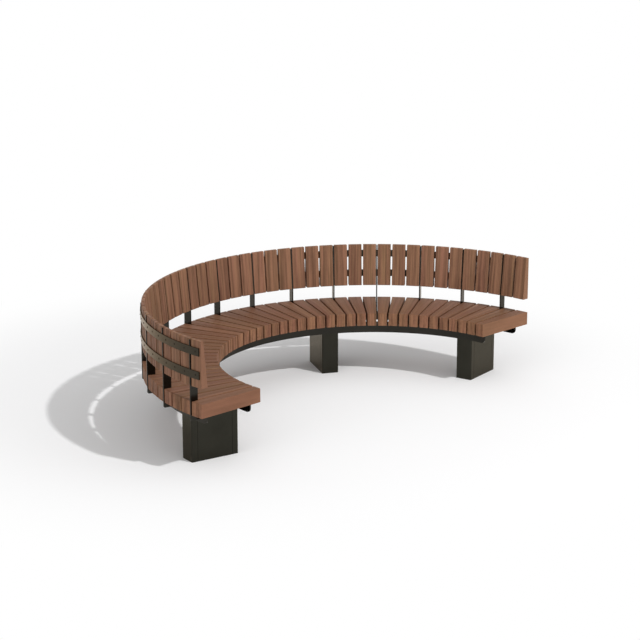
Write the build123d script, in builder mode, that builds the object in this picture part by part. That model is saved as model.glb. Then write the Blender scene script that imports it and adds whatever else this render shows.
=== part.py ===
import math
import os

from build123d import *

os.makedirs("parts", exist_ok=True)

# Ring of slats, seen from above: half a circle, open towards -Y
slat_count = 45
slats_per_section = 5
arc = 180.0
slat_gap = 12.0
slat_edge = 2.0

# Seat slats
seat_inner_r = 1070.0
seat_depth = 490.0
seat_height = 450.0
seat_thickness = 90.0

# Back slats: plumb outer face, leaning inner face
back_gap = 10.3
back_foot_thickness = 52.0
back_head_thickness = 22.0
back_clear_of_seat = 100.0
back_height = 300.0

# Curved bands behind the back slats, let into the support plates
band_height = 50.0
band_thickness = 8.0
band_end = 0.7
band_proud = 3.0
lower_band_rise = 57.0
band_spacing = 148.0

# Support plates, standing in the gaps between slats
first_plate = 2
slats_per_plate = 3
plate_thickness = 8.0
plate_depth = 55.0
plate_below_seat = 35.0
plate_corner = 10.0
plate_recess = 3.0
plate_below_head = 6.0

# Curved angle rails under the seat
rail_height = 64.0
rail_flange = 62.0
rail_wall = 8.0
rail_end = 1.8
rail_corner = 30.0

# Legs: a box of two folded channels and two side panels, with a plate at each end
leg_angles = (11.0, 61.2, 118.8, 169.0)
leg_setback = 65.0
leg_depth = 339.0
leg_width = 121.0
leg_below_seat = 18.0
leg_sheet = 4.0
leg_bend = 6.0
leg_return = 42.0
panel_seam = 2.0
leg_plate = 8.0
anchor_spacing = 190.0
anchor_hole = 14.0

# Coach screws: square heads under the rails, low hexagon heads on the bands
seat_screw_flats = 13.0
seat_screw_head = 5.5
back_screw_flats = 9.0
back_screw_head = 2.0

# Clearance between pieces that are welded or bedded on each other
fit = 0.2

# Values that follow from the sizes above
pitch = arc / slat_count
half_pitch = math.radians(pitch / 2)
seat_outer_r = seat_inner_r + seat_depth
seat_under = seat_height - seat_thickness
back_foot = seat_height + back_clear_of_seat
back_head = back_foot + back_height
back_inner_r = seat_outer_r - back_foot_thickness
back_width = 2 * back_inner_r * math.tan(half_pitch) - back_gap
band_inner_r = math.hypot(seat_outer_r, back_width / 2) + fit
band_outer_r = band_inner_r + band_thickness
leg_inner = seat_inner_r + leg_setback
leg_outer = leg_inner + leg_depth
leg_height = seat_under - leg_below_seat
inner_rail_back = leg_inner - fit
outer_rail_back = math.hypot(leg_outer, leg_width / 2) + fit
outer_rail_r = outer_rail_back + rail_wall
screw_inset = rail_wall + (rail_flange - rail_wall) / 2

# The ring's centre is placed so that the whole bench is centred on the origin
back_corner_y = back_inner_r * math.sin(half_pitch) - back_width / 2 * math.cos(half_pitch)
front_y = min(slat_gap / 2, back_corner_y)
rear_y = band_outer_r + back_screw_head
ring_y = -(front_y + rear_y) / 2
ring = Plane(origin=(0, ring_y, 0))
ring_axis = Axis((0, ring_y, 0), (0, 0, 1))


def upright(angle):
    # Upright plane through the ring's axis: x runs outward, y runs up
    turn = math.radians(angle)
    return Plane(
        origin=(0, ring_y, 0),
        x_dir=(math.cos(turn), math.sin(turn), 0),
        z_dir=(math.sin(turn), -math.cos(turn), 0),
    )


def level(angle, height):
    # Level plane at a height: x runs outward at the given angle
    turn = math.radians(angle)
    return Plane(
        origin=(0, ring_y, height),
        x_dir=(math.cos(turn), math.sin(turn), 0),
        z_dir=(0, 0, 1),
    )


def save(piece, name):
    piece.label = name
    export_step(piece, f"parts/{name}.step")


# One seat slat on the X axis, its sides parallel to the gaps beside it
def half_seat_width(radius):
    return radius * math.tan(half_pitch) - slat_gap / 2 / math.cos(half_pitch)


seat_inner_half = half_seat_width(seat_inner_r)
seat_outer_half = half_seat_width(seat_outer_r)

with BuildPart() as seat_slat:
    with BuildSketch(Plane.XY.offset(seat_under)):
        with BuildLine():
            Polyline(
                (seat_inner_r, -seat_inner_half),
                (seat_outer_r, -seat_outer_half),
                (seat_outer_r, seat_outer_half),
                (seat_inner_r, seat_inner_half),
                close=True,
            )
        make_face()
    extrude(amount=seat_thickness)
    bedded_edges = seat_slat.edges().group_by(Axis.Z)[0]
    chamfer(seat_slat.edges() - bedded_edges, slat_edge)

# One back slat on the X axis, a wedge in its side view
with BuildPart() as back_slat:
    with BuildSketch(Plane.XZ):
        with BuildLine():
            Polyline(
                (seat_outer_r, back_foot),
                (seat_outer_r, back_head),
                (seat_outer_r - back_head_thickness, back_head),
                (back_inner_r, back_foot),
                close=True,
            )
        make_face()
    extrude(amount=back_width / 2, both=True)
    chamfer(back_slat.edges(), slat_edge)


# Slats are set round the ring in sections of a few slats each
def slat_section(slat, first, count):
    with BuildPart(ring) as section:
        with PolarLocations(0, count, start_angle=(first + 0.5) * pitch, angular_range=count * pitch):
            add(slat.part)
    return section.part


section_count = math.ceil(slat_count / slats_per_section)
for number in range(section_count):
    first_slat = number * slats_per_section
    size = min(slats_per_section, slat_count - first_slat)
    save(slat_section(seat_slat, first_slat, size), f"seat_slats_{number + 1}")
    save(slat_section(back_slat, first_slat, size), f"back_slats_{number + 1}")


# Support plate: a foot on the outer rail, a post through the seat, a tapered head between back slats
lower_band_z = back_foot + lower_band_rise
upper_band_z = lower_band_z + band_spacing
plate_outer = band_outer_r - band_proud
plate_inner = plate_outer - plate_depth
notch_inner = band_inner_r - fit
notch_height = band_height + 2 * fit
plate_top = back_head - plate_below_head
plate_bottom = seat_under - plate_below_seat
back_lean = (back_foot_thickness - back_head_thickness) / back_height


def plate_front(height):
    # Front edge of the plate between back slats, set back from the leaning face
    return back_inner_r + (height - back_foot) * back_lean + plate_recess


plate_knee = back_foot + (plate_inner - plate_front(back_foot)) / back_lean


def support_plate(angle):
    with BuildPart() as plate:
        with BuildSketch(upright(angle)) as outline:
            with BuildLine():
                Polyline(
                    (outer_rail_r + fit, plate_bottom),
                    (plate_outer, plate_bottom),
                    (plate_outer, plate_top),
                    (plate_front(plate_top), plate_top),
                    (plate_inner, plate_knee),
                    (plate_inner, seat_under),
                    (outer_rail_r + fit, seat_under),
                    close=True,
                )
            make_face()
            foot_corners = outline.vertices().group_by(Axis.Y)[0]
            fillet(foot_corners.sort_by(Axis.X)[-1], plate_corner)
            notch_middle = notch_inner + band_thickness / 2
            lower_notch = (notch_middle, lower_band_z + band_height / 2)
            upper_notch = (notch_middle, upper_band_z + band_height / 2)
            with Locations(lower_notch, upper_notch):
                Rectangle(band_thickness, notch_height, mode=Mode.SUBTRACT)
        extrude(amount=plate_thickness / 2, both=True)
    return plate.part


plate_gaps = range(first_plate, slat_count, slats_per_plate)
for number, gap in enumerate(plate_gaps, start=1):
    save(support_plate(gap * pitch), f"support_plate_{number}")


# Bands of flat bar bent round the back
def back_band(bottom):
    with BuildPart() as band:
        with BuildSketch(upright(band_end)):
            with BuildLine():
                Polyline(
                    (band_inner_r, bottom),
                    (band_outer_r, bottom),
                    (band_outer_r, bottom + band_height),
                    (band_inner_r, bottom + band_height),
                    close=True,
                )
            make_face()
        revolve(axis=ring_axis, revolution_arc=arc - 2 * band_end)
    return band.part


save(back_band(lower_band_z), "lower_back_band")
save(back_band(upper_band_z), "upper_back_band")


# Angle rail: the wall stands against the legs, the flange lies under the slats
def angle_rail(wall_back, wall_front, flange_tip):
    rail_top = seat_under
    rail_bottom = seat_under - rail_height
    with BuildPart() as rail:
        with BuildSketch(upright(rail_end)):
            with BuildLine():
                Polyline(
                    (wall_front, rail_bottom),
                    (wall_front, rail_top),
                    (flange_tip, rail_top),
                    (flange_tip, rail_top - rail_wall),
                    (wall_back, rail_top - rail_wall),
                    (wall_back, rail_bottom),
                    close=True,
                )
            make_face()
        revolve(axis=ring_axis, revolution_arc=arc - 2 * rail_end)
        low_ends = rail.edges().filter_by(GeomType.LINE).group_by(Axis.Z)[0]
        fillet(low_ends, rail_corner)
    return rail.part


inner_rail_front = inner_rail_back - rail_wall
save(angle_rail(inner_rail_back, inner_rail_front, inner_rail_front + rail_flange), "inner_rail")
save(angle_rail(outer_rail_back, outer_rail_r, outer_rail_r - rail_flange), "outer_rail")


# Legs
def leg_channel(angle, face, inward):
    # Folded channel: a web across the leg's narrow side and a return along each wide side
    side = leg_width / 2 - leg_sheet / 2
    web = face + inward * leg_sheet / 2
    tip = face + inward * leg_return
    with BuildPart() as channel:
        with BuildSketch(level(angle, 0)):
            with BuildLine() as middle:
                FilletPolyline((tip, -side), (web, -side), (web, side), (tip, side), radius=leg_bend)
            trace(middle.line, line_width=leg_sheet)
        extrude(amount=leg_height)
    return channel.part


def leg_panels(angle):
    # Two side panels, each between the returns of the two channels
    width = leg_depth - 2 * (leg_return + panel_seam)
    middle = leg_inner + leg_depth / 2
    offset_y = leg_width / 2 - leg_sheet / 2
    with BuildPart() as panels:
        with BuildSketch(level(angle, 0)):
            with Locations((middle, -offset_y), (middle, offset_y)):
                Rectangle(width, leg_sheet)
        extrude(amount=leg_height)
    return panels.part


def leg_end_plate(angle, bottom, holes):
    # Plate inside the casing, which the channels and panels stand against
    length = leg_depth - 2 * (leg_sheet + fit)
    width = leg_width - 2 * (leg_sheet + fit)
    middle = leg_inner + leg_depth / 2
    with BuildPart() as plate:
        with BuildSketch(level(angle, bottom)) as outline:
            with Locations((middle, 0)):
                Rectangle(length, width)
            chamfer(outline.vertices(), leg_bend)
            if holes:
                with Locations((middle - anchor_spacing / 2, 0), (middle + anchor_spacing / 2, 0)):
                    Circle(anchor_hole / 2, mode=Mode.SUBTRACT)
        extrude(amount=leg_plate)
    return plate.part


for number, angle in enumerate(leg_angles, start=1):
    save(leg_channel(angle, leg_inner, 1), f"leg_{number}_inner_channel")
    save(leg_channel(angle, leg_outer, -1), f"leg_{number}_outer_channel")
    save(leg_panels(angle), f"leg_{number}_side_panels")
    save(leg_end_plate(angle, leg_height - leg_plate, False), f"leg_{number}_top_plate")
    save(leg_end_plate(angle, 0, True), f"leg_{number}_base_plate")


# Coach screw heads under the rails, one per slat and rail
with BuildPart() as seat_screws:
    with BuildSketch(ring.offset(seat_under - rail_wall - seat_screw_head)):
        for radius in (inner_rail_front + screw_inset, outer_rail_r - screw_inset):
            with PolarLocations(radius, slat_count, start_angle=pitch / 2, angular_range=arc):
                Rectangle(seat_screw_flats, seat_screw_flats)
    extrude(amount=seat_screw_head)
save(seat_screws.part, "seat_screws")

# Coach screw heads on the bands, one per slat and band
with BuildPart() as back_screws:
    for slat in range(slat_count):
        turn = math.radians((slat + 0.5) * pitch)
        outward = (math.cos(turn), math.sin(turn), 0)
        foot = (band_outer_r * outward[0], ring_y + band_outer_r * outward[1], 0)
        with BuildSketch(Plane(origin=foot, x_dir=(0, 0, 1), z_dir=outward)):
            with Locations((lower_band_z + band_height / 2, 0), (upper_band_z + band_height / 2, 0)):
                RegularPolygon(back_screw_flats / math.sqrt(3), 6)
        extrude(amount=back_screw_head)
save(back_screws.part, "back_screws")
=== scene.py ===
import math

import bmesh
import bpy
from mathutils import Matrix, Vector

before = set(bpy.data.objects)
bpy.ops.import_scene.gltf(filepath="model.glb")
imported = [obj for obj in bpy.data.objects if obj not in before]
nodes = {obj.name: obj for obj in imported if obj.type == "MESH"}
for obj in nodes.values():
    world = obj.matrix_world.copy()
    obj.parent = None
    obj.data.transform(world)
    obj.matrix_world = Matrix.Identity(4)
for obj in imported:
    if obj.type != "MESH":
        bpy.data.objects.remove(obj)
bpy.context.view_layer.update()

print("bench frame loaded:", len(nodes), "pieces")

# where the ring of slats sits, in metres, as the solids have it
ring = {
    "centreY": -0.788035,
    "slatAngle": math.radians(4.0),
    "seatMiddle": 1.315,  # radius half way along a seat slat
}


# small helpers for node trees
def fill(tree, socket, value):
    if isinstance(value, bpy.types.NodeSocket):
        tree.links.new(value, socket)
    else:
        socket.default_value = value


def addNode(tree, kind, settings=None, **inputs):
    # inputs go by name, or by number as in0, in1 and so on
    node = tree.nodes.new(kind)
    for name, value in (settings or {}).items():
        setattr(node, name, value)
    for name, value in inputs.items():
        numbered = name.startswith("in") and name[2:].isdigit()
        fill(tree, node.inputs[int(name[2:]) if numbered else name], value)
    return node


def sumUp(tree, operation, *values, clamp=False):
    node = addNode(tree, "ShaderNodeMath", {"operation": operation, "use_clamp": clamp})
    for socket, value in zip(node.inputs, values):
        fill(tree, socket, value)
    return node.outputs[0]


def vectorSum(tree, operation, first, second):
    return addNode(tree, "ShaderNodeVectorMath", {"operation": operation}, in0=first, in1=second).outputs


def remap(tree, value, span, toLow=0.0, toHigh=1.0, smooth=False):
    low, high = span
    node = addNode(tree, "ShaderNodeMapRange",
                   {"interpolation_type": "SMOOTHSTEP" if smooth else "LINEAR", "clamp": True},
                   in0=value, in1=low, in2=high, in3=toLow, in4=toHigh)
    return node.outputs[0]


def addNoise(tree, place, scale, detail, roughness):
    return addNode(tree, "ShaderNodeTexNoise", Vector=place, Scale=scale, Detail=detail,
                   Roughness=roughness).outputs


def blendColour(tree, amount, first, second):
    node = addNode(tree, "ShaderNodeMix", {"data_type": "RGBA", "clamp_factor": True},
                   in0=amount, in6=first, in7=second)
    return node.outputs[2]


def shadeColour(tree, colour, value, hue=0.5):
    node = addNode(tree, "ShaderNodeHueSaturation", Hue=hue, Saturation=1.0, Value=value, Color=colour)
    return node.outputs[0]


def faceUp(tree):
    # 1 on a face that looks up, 0 on an upright one
    normal = addNode(tree, "ShaderNodeNewGeometry").outputs["Normal"]
    return addNode(tree, "ShaderNodeSeparateXYZ", in0=normal).outputs[2]


def seenRays(tree):
    # 1 for what the camera sees, straight, in gloss or through glass
    ray = addNode(tree, "ShaderNodeLightPath").outputs
    bent = sumUp(tree, "MAXIMUM", ray["Is Glossy Ray"], ray["Is Transmission Ray"])
    return sumUp(tree, "MAXIMUM", ray["Is Camera Ray"], bent)


def newGroup(name, inputs, outputs):
    tree = bpy.data.node_groups.new(name, "ShaderNodeTree")
    for sockets, way in ((inputs, "INPUT"), (outputs, "OUTPUT")):
        for label, kind in sockets.items():
            tree.interface.new_socket(name=label, in_out=way, socket_type="NodeSocket" + kind)
    return tree, tree.nodes.new("NodeGroupInput").outputs, tree.nodes.new("NodeGroupOutput").inputs


def placeGroup(tree, group, **inputs):
    # an underscore stands for the space in a socket's name
    node = tree.nodes.new("ShaderNodeGroup")
    node.node_tree = group
    for name, value in inputs.items():
        fill(tree, node.inputs[name.replace("_", " ")], value)
    return node.outputs


def newMaterial(name):
    material = bpy.data.materials.new(name)
    material.use_nodes = True
    tree = material.node_tree
    return material, tree, tree.nodes["Principled BSDF"]


# shared effects
def makeRingFrame():
    # place of a point within its own slat: out along the ring's radius, across the slat, up, and which slat,
    # with how far its face looks out of the ring
    tree, given, result = newGroup(
        "ringFrame",
        {"Centre Y": "Float", "Slat Angle": "Float"},
        {"Outward": "Float", "Across": "Float", "Up": "Float", "Slat": "Float", "Facing Out": "Float"})
    place = addNode(tree, "ShaderNodeTexCoord").outputs["Object"]
    split = addNode(tree, "ShaderNodeSeparateXYZ", in0=place).outputs
    x = split[0]
    y = sumUp(tree, "SUBTRACT", split[1], given["Centre Y"])
    angle = sumUp(tree, "ARCTAN2", y, x)
    slat = sumUp(tree, "FLOOR", sumUp(tree, "DIVIDE", angle, given["Slat Angle"]))
    away = sumUp(tree, "ADD", sumUp(tree, "MULTIPLY", x, x), sumUp(tree, "MULTIPLY", y, y))
    away = sumUp(tree, "SQRT", away)
    middle = sumUp(tree, "MULTIPLY", sumUp(tree, "ADD", slat, 0.5), given["Slat Angle"])
    swing = sumUp(tree, "SUBTRACT", angle, middle)
    tree.links.new(sumUp(tree, "MULTIPLY", away, sumUp(tree, "COSINE", swing)), result["Outward"])
    tree.links.new(sumUp(tree, "MULTIPLY", away, sumUp(tree, "SINE", swing)), result["Across"])
    tree.links.new(split[2], result["Up"])
    tree.links.new(slat, result["Slat"])
    spoke = addNode(tree, "ShaderNodeCombineXYZ", in0=x, in1=y)
    spoke = addNode(tree, "ShaderNodeVectorMath", {"operation": "NORMALIZE"}, in0=spoke.outputs[0])
    normal = addNode(tree, "ShaderNodeNewGeometry").outputs["Normal"]
    facing = vectorSum(tree, "DOT_PRODUCT", normal, spoke.outputs[0])
    tree.links.new(facing["Value"], result["Facing Out"])
    return tree


# scales are waves to a metre, shares say how much each layer darkens the wood
grainLook = {
    "seed": 3.7,
    "seedSpread": 9.0,
    "lean": 0.2,
    "bend": {"along": 1.6, "across": 4.0, "reach": 0.014},
    "broad": {"lane": 50.0, "along": 0.9, "through": 3.0, "share": 1.7},
    "fine": {"lane": 165.0, "along": 2.2, "through": 8.0, "share": 1.0},
    "flank": {"along": 2.0, "across": 62.0, "share": 0.6},
    "fibre": {"along": 16.0, "across": 620.0, "span": (0.32, 0.68), "share": 0.22},
    "pore": {"along": 52.0, "across": 1500.0, "span": (0.60, 0.72), "share": 0.30},
    "darkness": 0.46,
    "slatWarmth": 0.008,
    "streakWarmth": 0.030,
    "rough": {"base": 0.50, "streaks": 0.10, "pores": 0.18},
    "height": {"fibres": -0.35, "streaks": -0.25, "pores": -0.6},
}


def makeTimberGrain(look):
    # grain that runs along the first axis, with its own draw for every slat
    tree, given, result = newGroup(
        "timberGrain",
        {"Along": "Float", "Across": "Float", "Through": "Float", "Slat": "Float", "Light": "Color",
         "Dark": "Color", "Tone Spread": "Float", "Contrast": "Float"},
        {"Color": "Color", "Roughness": "Float", "Height": "Float"})
    draw = addNode(tree, "ShaderNodeTexWhiteNoise", {"noise_dimensions": "1D"},
                   W=sumUp(tree, "ADD", given["Slat"], look["seed"])).outputs
    shift = addNode(tree, "ShaderNodeVectorMath", {"operation": "SCALE"}, in0=draw["Color"],
                    Scale=look["seedSpread"]).outputs[0]
    seed = addNode(tree, "ShaderNodeSeparateXYZ", in0=draw["Color"]).outputs

    def place(first, second, third):
        scaled = [sumUp(tree, "MULTIPLY", *pair) for pair in (first, second, third)]
        joined = addNode(tree, "ShaderNodeCombineXYZ", in0=scaled[0], in1=scaled[1], in2=scaled[2])
        return vectorSum(tree, "ADD", joined.outputs[0], shift)[0]

    def threads(layer, detail, roughness):
        spot = place((given["Along"], layer["along"]), (given["Across"], layer["across"]),
                     (given["Through"], layer["across"]))
        return addNoise(tree, spot, 1.0, detail, roughness)[0]

    def fromMiddle(value):
        return sumUp(tree, "SUBTRACT", value, 0.5)

    # growth rings cross the slat as upright sheets, so they show as streaks along it and lines on its ends
    bend = threads(look["bend"], 2.0, 0.5)
    lean = sumUp(tree, "MULTIPLY", fromMiddle(seed[0]), look["lean"])
    lane = sumUp(tree, "MULTIPLY_ADD", given["Through"], lean, given["Across"])
    lane = sumUp(tree, "MULTIPLY_ADD", bend, look["bend"]["reach"], lane)

    def sheets(layer):
        spot = place((lane, layer["lane"]), (given["Along"], layer["along"]),
                     (given["Through"], layer["through"]))
        return addNoise(tree, spot, 1.0, 2.0, 0.5)

    broad = sheets(look["broad"])
    fine = sheets(look["fine"])[0]
    flank = threads(look["flank"], 3.0, 0.55)
    fibre = threads(look["fibre"], 3.0, 0.6)
    pore = threads(look["pore"], 1.0, 0.5)
    streaks = sumUp(tree, "MULTIPLY", fromMiddle(broad[0]), look["broad"]["share"])
    streaks = sumUp(tree, "MULTIPLY_ADD", fromMiddle(fine), look["fine"]["share"], streaks)
    streaks = sumUp(tree, "MULTIPLY_ADD", fromMiddle(flank), look["flank"]["share"], streaks)
    streaks = sumUp(tree, "MULTIPLY_ADD", streaks, given["Contrast"], look["darkness"])
    pores = remap(tree, pore, look["pore"]["span"])
    fibres = remap(tree, fibre, look["fibre"]["span"])
    dark = sumUp(tree, "MULTIPLY_ADD", fromMiddle(fibres), look["fibre"]["share"], streaks)
    dark = sumUp(tree, "MULTIPLY_ADD", pores, look["pore"]["share"], dark, clamp=True)
    colour = blendColour(tree, dark, given["Light"], given["Dark"])

    # every slat is cut from another board, so its tone and warmth differ a little, and so do its streaks
    tone = sumUp(tree, "MULTIPLY_ADD", fromMiddle(draw["Value"]), given["Tone Spread"], 1.0)
    tint = addNode(tree, "ShaderNodeSeparateXYZ", in0=broad["Color"]).outputs[1]
    warm = sumUp(tree, "MULTIPLY_ADD", fromMiddle(seed[2]), look["slatWarmth"], 0.5)
    warm = sumUp(tree, "MULTIPLY_ADD", fromMiddle(tint), look["streakWarmth"], warm)
    tree.links.new(shadeColour(tree, colour, tone, warm), result["Color"])

    rough = sumUp(tree, "MULTIPLY_ADD", streaks, look["rough"]["streaks"], look["rough"]["base"])
    rough = sumUp(tree, "MULTIPLY_ADD", pores, look["rough"]["pores"], rough, clamp=True)
    tree.links.new(rough, result["Roughness"])
    height = sumUp(tree, "MULTIPLY", fibres, look["height"]["fibres"])
    height = sumUp(tree, "MULTIPLY_ADD", streaks, look["height"]["streaks"], height)
    height = sumUp(tree, "MULTIPLY_ADD", pores, look["height"]["pores"], height)
    tree.links.new(height, result["Height"])
    return tree


edgeLook = {
    "turn": (0.995, 0.90),  # likeness of the rounded and the flat normal, from open face to sharp edge
    "gaps": (0.38, 0.66),
}


def makeEdgeWear(look):
    # 1 on a rubbed edge, 0 on open faces, broken up so that no edge is rubbed evenly
    tree, given, result = newGroup(
        "edgeWear", {"Width": "Float", "Break Up": "Float", "Amount": "Float"}, {"Mask": "Float"})
    rounded = addNode(tree, "ShaderNodeBevel", {"samples": 4}, Radius=given["Width"]).outputs[0]
    flat = addNode(tree, "ShaderNodeNewGeometry").outputs["Normal"]
    edge = remap(tree, vectorSum(tree, "DOT_PRODUCT", rounded, flat)["Value"], look["turn"])
    place = addNode(tree, "ShaderNodeTexCoord").outputs["Object"]
    gaps = remap(tree, addNoise(tree, place, given["Break Up"], 4.0, 0.65)[0], look["gaps"])
    mask = sumUp(tree, "MULTIPLY", sumUp(tree, "MULTIPLY", edge, gaps), given["Amount"])
    tree.links.new(mask, result["Mask"])
    return tree


powderLook = {
    "peelScale": 520.0,
    "gritScale": 1500.0,
    "gritShare": 0.3,
    "driftScale": 4.5,
    "driftSpan": (0.3, 0.7),
    "driftShade": (0.88, 1.12),
    "dustScale": 23.0,
    "dustSpan": (0.35, 0.75),
    "levelSpan": (0.5, 0.95),
    "dustUpright": 0.2,
    "dustLevel": 0.8,
    "rough": {"drift": 0.07, "peel": 0.05, "dust": 0.6},
}


def makePowderCoat(look):
    # baked-on powder: fine orange peel, slow drift of tone, a trace of dust that lies on level faces
    tree, given, result = newGroup(
        "powderCoat",
        {"Coat": "Color", "Dust": "Color", "Dust Amount": "Float", "Gloss Floor": "Float"},
        {"Color": "Color", "Roughness": "Float", "Height": "Float"})
    place = addNode(tree, "ShaderNodeTexCoord").outputs["Object"]
    peel = addNoise(tree, place, look["peelScale"], 2.0, 0.5)[0]
    grit = addNoise(tree, place, look["gritScale"], 1.0, 0.5)[0]
    drift = addNoise(tree, place, look["driftScale"], 5.0, 0.6)[0]
    settle = addNoise(tree, place, look["dustScale"], 5.0, 0.7)[0]
    level = remap(tree, faceUp(tree), look["levelSpan"])
    dust = sumUp(tree, "MULTIPLY_ADD", level, look["dustLevel"], look["dustUpright"])
    dust = sumUp(tree, "MULTIPLY", dust, remap(tree, settle, look["dustSpan"]))
    dust = sumUp(tree, "MULTIPLY", dust, given["Dust Amount"])
    shade = remap(tree, drift, look["driftSpan"], *look["driftShade"])
    coat = shadeColour(tree, given["Coat"], shade)
    tree.links.new(blendColour(tree, dust, coat, given["Dust"]), result["Color"])
    uneven = remap(tree, drift, look["driftSpan"])
    rough = sumUp(tree, "MULTIPLY_ADD", uneven, look["rough"]["drift"], given["Gloss Floor"])
    rough = sumUp(tree, "MULTIPLY_ADD", peel, look["rough"]["peel"], rough)
    rough = sumUp(tree, "MULTIPLY_ADD", dust, look["rough"]["dust"], rough, clamp=True)
    tree.links.new(rough, result["Roughness"])
    tree.links.new(sumUp(tree, "MULTIPLY_ADD", grit, look["gritShare"], peel), result["Height"])
    return tree


ringFrame = makeRingFrame()
timberGrain = makeTimberGrain(grainLook)
edgeWear = makeEdgeWear(edgeLook)
powderCoat = makePowderCoat(powderLook)
print("shared effects ready")


# timber
seatTimberLook = {
    "light": (0.301, 0.146, 0.083, 1),
    "dark": (0.145, 0.070, 0.040, 1),
    "worn": (0.33, 0.18, 0.11, 1),
    "toneSpread": 0.15,
    "contrast": 1.5,
    "topContrast": 0.70,
    "sideContrast": 0.90,
    # painted shade: the four shade factors that follow darken the tops, the faces along the ring, the outer
    # faces and the fronts
    "topShade": 0.87,
    "sideShade": 0.91,
    "outShade": 0.84,
    "inPaintedShade": 0.96,
    "wearWidth": 0.0035,
    "wear": 0.45,
}

backTimberLook = {
    "light": (0.302, 0.154, 0.091, 1),
    "dark": (0.146, 0.074, 0.044, 1),
    "worn": (0.34, 0.20, 0.125, 1),
    "toneSpread": 0.05,
    "contrast": 1.5,
    "topContrast": 1.5,
    "sideContrast": 0.70,
    # painted shade: the four shade factors that follow darken the outer faces and the faces along the ring
    "topShade": 1.0,
    "sideShade": 0.97,
    "outShade": 0.80,
    "inPaintedShade": 1.0,
    "wearWidth": 0.003,
    "wear": 0.40,
}

# what both timbers share; the spans say from where to where a face counts as turned that way
timberFinish = {
    "upSpan": (0.3, 0.9),
    "outSpan": (0.3, 0.9),
    "inSpan": (-0.9, -0.3),
    "sideSpan": (0.2, 0.6),
    "wearBreakUp": 34.0,
    "wearRough": 0.15,
    "bump": 0.30,
    "bumpDepth": 0.0007,
    "specular": 0.08,
}


def makeTimber(name, look, finish, upright):
    material, tree, shader = newMaterial(name)
    slat = placeGroup(tree, ringFrame, Centre_Y=ring["centreY"], Slat_Angle=ring["slatAngle"])
    if upright:
        along, across, through = slat["Up"], slat["Across"], slat["Outward"]
    else:
        # the grain of a seat slat fans out with the slat
        fan = sumUp(tree, "MULTIPLY", slat["Across"], ring["seatMiddle"])
        fan = sumUp(tree, "DIVIDE", fan, slat["Outward"])
        along, across, through = slat["Outward"], fan, slat["Up"]
    # level faces are plainer, and so are those that look along the ring, such as the two ends of the bench
    up, out = faceUp(tree), slat["Facing Out"]
    notSide = sumUp(tree, "MULTIPLY_ADD", up, up, sumUp(tree, "MULTIPLY", out, out))
    contrast = remap(tree, up, finish["upSpan"], look["contrast"], look["topContrast"])
    contrast = remap(tree, notSide, finish["sideSpan"], look["sideContrast"], contrast)
    # painted shade: tops, outer faces, fronts and faces along the ring are each darkened by a factor of their
    # own
    shade = sumUp(tree, "MULTIPLY", remap(tree, up, finish["upSpan"], 1.0, look["topShade"]),
                  remap(tree, out, finish["outSpan"], 1.0, look["outShade"]))
    shade = sumUp(tree, "MULTIPLY", shade, remap(tree, out, finish["inSpan"], look["inPaintedShade"], 1.0))
    shade = sumUp(tree, "MULTIPLY", shade, remap(tree, notSide, finish["sideSpan"], look["sideShade"], 1.0))
    grain = placeGroup(tree, timberGrain, Along=along, Across=across, Through=through, Slat=slat["Slat"],
                       Light=look["light"], Dark=look["dark"], Tone_Spread=look["toneSpread"],
                       Contrast=contrast)
    wear = placeGroup(tree, edgeWear, Width=look["wearWidth"], Break_Up=finish["wearBreakUp"],
                      Amount=look["wear"])["Mask"]
    rubbed = blendColour(tree, wear, grain["Color"], look["worn"])
    # the grain and rubbed edges are darkened by the painted shade
    tree.links.new(shadeColour(tree, rubbed, shade), shader.inputs["Base Color"])
    rough = sumUp(tree, "MULTIPLY_ADD", wear, finish["wearRough"], grain["Roughness"], clamp=True)
    tree.links.new(rough, shader.inputs["Roughness"])
    bump = addNode(tree, "ShaderNodeBump", Strength=finish["bump"], Distance=finish["bumpDepth"],
                   Height=grain["Height"])
    tree.links.new(bump.outputs[0], shader.inputs["Normal"])
    shader.inputs["Specular IOR Level"].default_value = finish["specular"]
    return material


seatTimber = makeTimber("seatTimber", seatTimberLook, timberFinish, upright=False)
backTimber = makeTimber("backTimber", backTimberLook, timberFinish, upright=True)
print("timber finishes ready")


# coated steel
frameCoatLook = {
    "coat": (0.0320, 0.0302, 0.0256, 1),
    "dust": (0.15, 0.14, 0.12, 1),
    "dustAmount": 0.07,
    "gloss": 0.16,
    "sheen": (1.0, 0.95, 0.89, 1),
    "wear": 0.30,
}

# painted light: the frame's own coat, made lighter and warmer on the bands and their screw heads
bandCoatLook = {
    "coat": (0.0400, 0.0360, 0.0278, 1),
    "dust": (0.15, 0.14, 0.12, 1),
    "dustAmount": 0.07,
    "gloss": 0.16,
    "sheen": (1.0, 0.87, 0.74, 1),
    "wear": 0.30,
}

legCoatLook = {
    "coat": (0.0325, 0.0312, 0.0245, 1),
    "dust": (0.16, 0.15, 0.13, 1),
    "dustAmount": 0.09,
    "gloss": 0.17,
    "sheen": (1.0, 0.93, 0.83, 1),
    "wear": 0.32,
}

# what the coats share
coatFinish = {
    "bare": (0.085, 0.080, 0.070, 1),
    "wearWidth": 0.0025,
    "wearBreakUp": 42.0,
    "wearRough": -0.10,
    "bump": 0.10,
    "bumpDepth": 0.0003,
}


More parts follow.
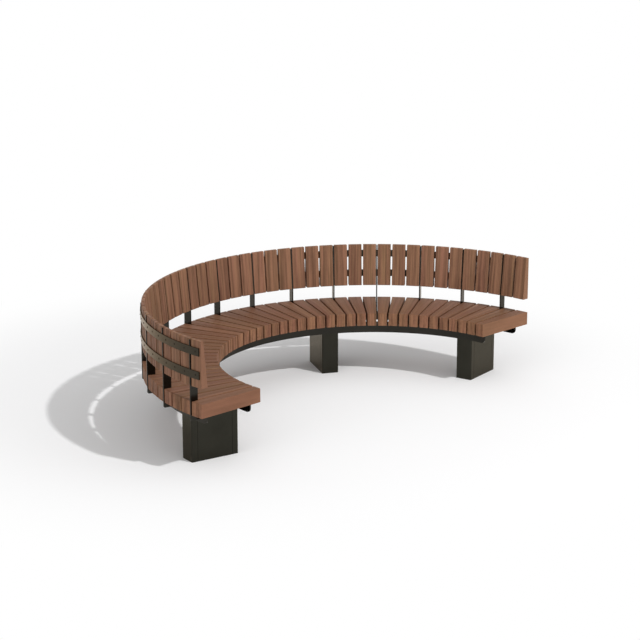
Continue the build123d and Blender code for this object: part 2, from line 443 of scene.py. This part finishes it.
def makeCoat(name, look, finish):
    material, tree, shader = newMaterial(name)
    coat = placeGroup(tree, powderCoat, Coat=look["coat"], Dust=look["dust"], Dust_Amount=look["dustAmount"],
                      Gloss_Floor=look["gloss"])
    wear = placeGroup(tree, edgeWear, Width=finish["wearWidth"], Break_Up=finish["wearBreakUp"],
                      Amount=look["wear"])["Mask"]
    tree.links.new(blendColour(tree, wear, coat["Color"], finish["bare"]), shader.inputs["Base Color"])
    rough = sumUp(tree, "MULTIPLY_ADD", wear, finish["wearRough"], coat["Roughness"], clamp=True)
    tree.links.new(rough, shader.inputs["Roughness"])
    bump = addNode(tree, "ShaderNodeBump", Strength=finish["bump"], Distance=finish["bumpDepth"],
                   Height=coat["Height"])
    tree.links.new(bump.outputs[0], shader.inputs["Normal"])
    # a dark metal-flake powder, which turns paler and warmer where it is seen along the surface
    shader.inputs["Metallic"].default_value = 1.0
    shader.inputs["Specular Tint"].default_value = look["sheen"]
    return material


frameCoat = makeCoat("frameCoat", frameCoatLook, coatFinish)
# the bands take a lighter, warmer copy of the frame coat as painted light
bandCoat = makeCoat("bandCoat", bandCoatLook, coatFinish)
legCoat = makeCoat("legCoat", legCoatLook, coatFinish)
print("steel coats ready")


# screw heads under the seat
screwLook = {
    "steel": (0.070, 0.066, 0.058, 1),
    "oil": (0.022, 0.020, 0.017, 1),
    "bare": (0.30, 0.29, 0.27, 1),
    "cloudScale": 180.0,
    "mottleSpan": (0.35, 0.65),
    "wearWidth": 0.0010,
    "wearBreakUp": 160.0,
    "wear": 0.6,
    "roughSpan": (0.3, 0.7),
    "rough": (0.34, 0.55),
    "bump": 0.1,
    "bumpDepth": 0.0002,
}


def makeScrewSteel(name, look):
    material, tree, shader = newMaterial(name)
    place = addNode(tree, "ShaderNodeTexCoord").outputs["Object"]
    cloud = addNoise(tree, place, look["cloudScale"], 4.0, 0.6)[0]
    colour = blendColour(tree, remap(tree, cloud, look["mottleSpan"]), look["oil"], look["steel"])
    wear = placeGroup(tree, edgeWear, Width=look["wearWidth"], Break_Up=look["wearBreakUp"],
                      Amount=look["wear"])["Mask"]
    tree.links.new(blendColour(tree, wear, colour, look["bare"]), shader.inputs["Base Color"])
    tree.links.new(remap(tree, cloud, look["roughSpan"], *look["rough"]), shader.inputs["Roughness"])
    bump = addNode(tree, "ShaderNodeBump", Strength=look["bump"], Distance=look["bumpDepth"], Height=cloud)
    tree.links.new(bump.outputs[0], shader.inputs["Normal"])
    shader.inputs["Metallic"].default_value = 1.0
    return material


screwSteel = makeScrewSteel("screwSteel", screwLook)
print("screw steel ready")

# a piece takes the finish that its name starts with
finishes = {
    "seat_slats_": seatTimber,
    "back_slats_": backTimber,
    "support_plate_": frameCoat,
    "lower_back_band": bandCoat,
    "upper_back_band": bandCoat,
    "inner_rail": frameCoat,
    "outer_rail": frameCoat,
    "leg_": legCoat,
    "seat_screws": screwSteel,
    "back_screws": bandCoat,
}

for name, piece in nodes.items():
    for start, finish in finishes.items():
        if name.startswith(start):
            for slot in piece.material_slots:
                slot.material = finish
print("finishes on", len(nodes), "pieces")


# floor, light and camera
floorLook = {
    "colour": (0.972, 0.972, 0.976, 1),
    "rough": 0.9,
    "radius": 60.0,
    "segments": 96,
    "middle": (0.0, 0.2, 0.0),
    "fadeSpan": (1.7, 3.3),
}


def makeFloor(look):
    shape = bmesh.new()
    bmesh.ops.create_circle(shape, cap_ends=True, segments=look["segments"], radius=look["radius"])
    mesh = bpy.data.meshes.new("paleFloor")
    shape.to_mesh(mesh)
    shape.free()
    floor = bpy.data.objects.new("paleFloor", mesh)
    bpy.context.scene.collection.objects.link(floor)
    material, tree, shader = newMaterial("paleFloor")
    shader.inputs["Base Color"].default_value = look["colour"]
    shader.inputs["Roughness"].default_value = look["rough"]
    shader.inputs["Specular IOR Level"].default_value = 0.0
    # far from the bench the floor runs out into plain white, so it has no edge
    place = addNode(tree, "ShaderNodeTexCoord").outputs["Object"]
    away = vectorSum(tree, "DISTANCE", place, look["middle"])["Value"]
    fade = remap(tree, away, look["fadeSpan"], smooth=True)
    white = addNode(tree, "ShaderNodeEmission", Color=(1, 1, 1, 1), Strength=1.0)
    mix = addNode(tree, "ShaderNodeMixShader", in0=sumUp(tree, "MULTIPLY", fade, seenRays(tree)),
                  in1=shader.outputs[0], in2=white.outputs[0])
    tree.links.new(mix.outputs[0], tree.nodes["Material Output"].inputs["Surface"])
    mesh.materials.append(material)


makeFloor(floorLook)

# angles in degrees, turned about the upright and lifted from level; a higher narrow makes a smaller patch of sky
lightLook = {
    "keyPlace": (3.420, -18.441, 20.671),
    "keyAim": (0.0, 0.0, 0.3),
    "keyWatts": 3680.0,
    "keySize": 0.94,
    "sky": 0.595,
    "front": {"share": 2.4, "angle": 187.0, "rise": 12.0, "narrow": 10.0},
    "dim": {"share": -0.37, "angle": 135.0, "rise": 12.0, "narrow": 2.0},
}


def makeLamp(look):
    lamp = bpy.data.lights.new("keyLamp", "AREA")
    lamp.shape = "DISK"
    lamp.size = look["keySize"]
    lamp.energy = look["keyWatts"]
    key = bpy.data.objects.new("keyLamp", lamp)
    key.location = look["keyPlace"]
    away = Vector(look["keyPlace"]) - Vector(look["keyAim"])
    key.rotation_euler = away.to_track_quat("Z", "Y").to_euler()
    bpy.context.scene.collection.objects.link(key)


def makeSky(look):
    world = bpy.data.worlds.new("whiteRoom")
    bpy.context.scene.world = world
    world.use_nodes = True
    tree = world.node_tree
    sky = tree.nodes["Background"]
    sky.inputs["Color"].default_value = (1, 1, 1, 1)
    # an even sky that brightens softly towards the open side of the bench and dims behind it
    way = addNode(tree, "ShaderNodeTexCoord").outputs["Generated"]
    level = look["sky"]
    for patch in (look["front"], look["dim"]):
        turn, lift = math.radians(patch["angle"]), math.radians(patch["rise"])
        aim = (math.cos(lift) * math.cos(turn), math.cos(lift) * math.sin(turn), math.sin(lift))
        near = sumUp(tree, "MAXIMUM", vectorSum(tree, "DOT_PRODUCT", way, aim)["Value"], 0.0)
        near = sumUp(tree, "POWER", near, patch["narrow"])
        level = sumUp(tree, "MULTIPLY_ADD", near, patch["share"], level)
    tree.links.new(level, sky.inputs["Strength"])
    white = addNode(tree, "ShaderNodeBackground", Color=(1, 1, 1, 1), Strength=1.0)
    mix = addNode(tree, "ShaderNodeMixShader", in0=seenRays(tree), in1=sky.outputs[0], in2=white.outputs[0])
    tree.links.new(mix.outputs[0], tree.nodes["World Output"].inputs["Surface"])


makeLamp(lightLook)
makeSky(lightLook)

cameraLook = {
    "place": (-9.00404, -9.26684, 4.01736),
    "turn": (74.9358, 0.0297, -44.9239),
    "lens": 109.125,
    "sensor": 36.0,
    "reach": 200.0,
}


def makeCamera(look):
    lens = bpy.data.cameras.new("photoCamera")
    lens.sensor_width = look["sensor"]
    lens.lens = look["lens"]
    lens.clip_end = look["reach"]
    camera = bpy.data.objects.new("photoCamera", lens)
    camera.location = look["place"]
    camera.rotation_euler = [math.radians(value) for value in look["turn"]]
    bpy.context.scene.collection.objects.link(camera)
    bpy.context.scene.camera = camera


makeCamera(cameraLook)
bpy.context.scene.view_settings.view_transform = "Standard"
print("floor, light and camera ready")
